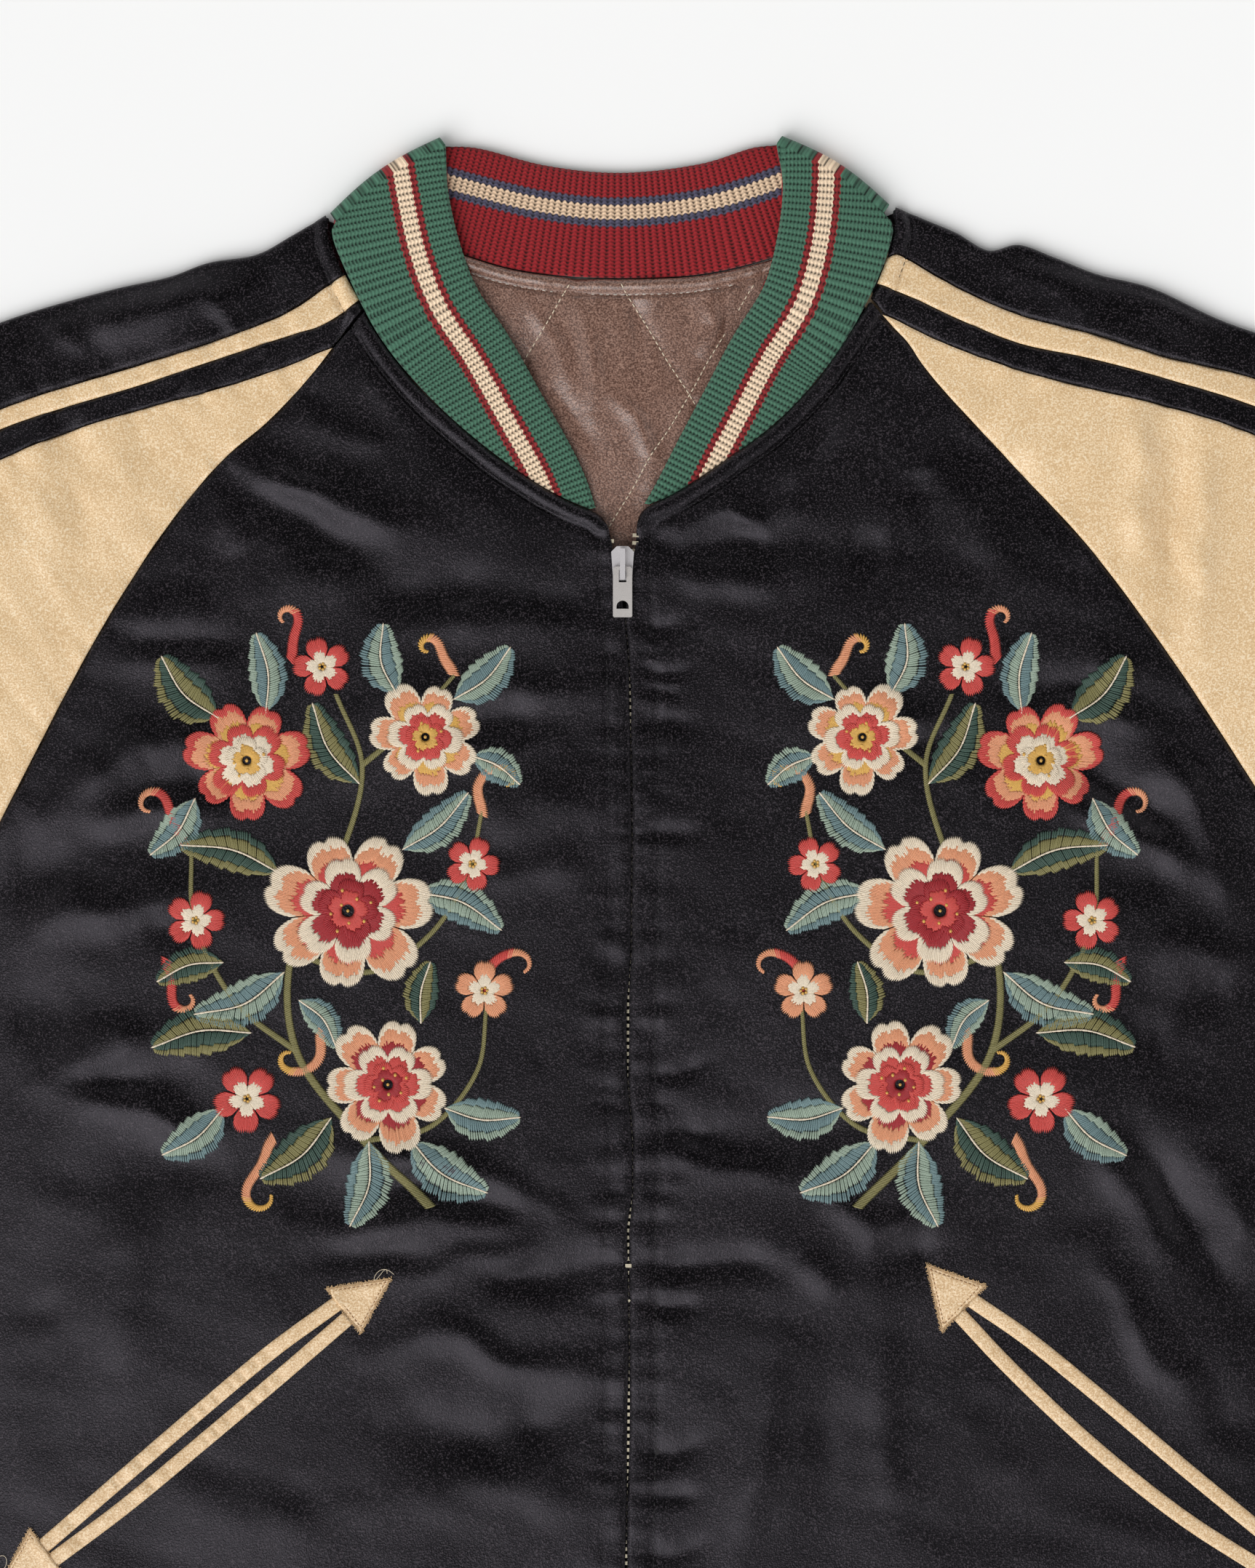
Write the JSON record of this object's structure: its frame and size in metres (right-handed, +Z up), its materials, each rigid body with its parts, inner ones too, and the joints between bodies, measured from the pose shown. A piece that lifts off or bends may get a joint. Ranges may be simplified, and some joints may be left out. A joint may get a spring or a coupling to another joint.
{
  "type": "souvenir jacket",
  "caption": "Satin raglan jacket laid flat, face up, with a two-tone rib collar, striped sleeves, slanted welt pockets and a closed front zip.",
  "frame": {"origin": "on the floor under the middle of the laid jacket's length and width", "axes": "+X across the jacket towards the wearer's left sleeve, +Y from the hem to the collar, +Z up from the floor through the back to the front"},
  "size_m": [1.315, 0.7208, 0.0165],
  "materials": {
    "black_satin": "satin",
    "gold_satin": "satin",
    "green_rib": "matte rib knit",
    "red_rib": "matte rib knit",
    "taupe_lining": "satin, quilted",
    "zip_tape": "matte",
    "zip_metal": "brushed"
  },
  "bodies": {
    "jacket": {"back": "black_satin", "collar_inner_rib": "red_rib", "collar_outer_rib": "green_rib", "cuff_left": "green_rib", "cuff_right": "green_rib", "front_left": "black_satin", "front_right": "black_satin", "hem_rib": "green_rib", "lining_back": "taupe_lining", "pocket_left_inner_arrow": "gold_satin", "pocket_left_lower_welt": "gold_satin", "pocket_left_outer_arrow": "gold_satin", "pocket_left_upper_welt": "gold_satin", "pocket_right_inner_arrow": "gold_satin", "pocket_right_lower_welt": "gold_satin", "pocket_right_outer_arrow": "gold_satin", "pocket_right_upper_welt": "gold_satin", "sleeve_left_back_band": "black_satin", "sleeve_left_back_panel": "gold_satin", "sleeve_left_back_stripe": "gold_satin", "sleeve_left_front_band": "black_satin", "sleeve_left_front_panel": "gold_satin", "sleeve_left_front_stripe": "gold_satin", "sleeve_left_overarm": "black_satin", "sleeve_right_back_band": "black_satin", "sleeve_right_back_panel": "gold_satin", "sleeve_right_back_stripe": "gold_satin", "sleeve_right_front_band": "black_satin", "sleeve_right_front_panel": "gold_satin", "sleeve_right_front_stripe": "gold_satin", "sleeve_right_overarm": "black_satin", "zip_slider": "zip_metal", "zip_tape_left": "zip_tape", "zip_tape_right": "zip_tape"},
    "zip_pull": {"zip_pull_tab": "zip_metal"}
  },
  "joints": [
    {"name": "pull_tab_hinge", "type": "hinge", "parent": "jacket", "child": "zip_pull", "pos_m": [-0.0021, 0.175, 0.0141], "axis": [-1, 0, 0], "range_deg": [0, 140]}
  ]
}
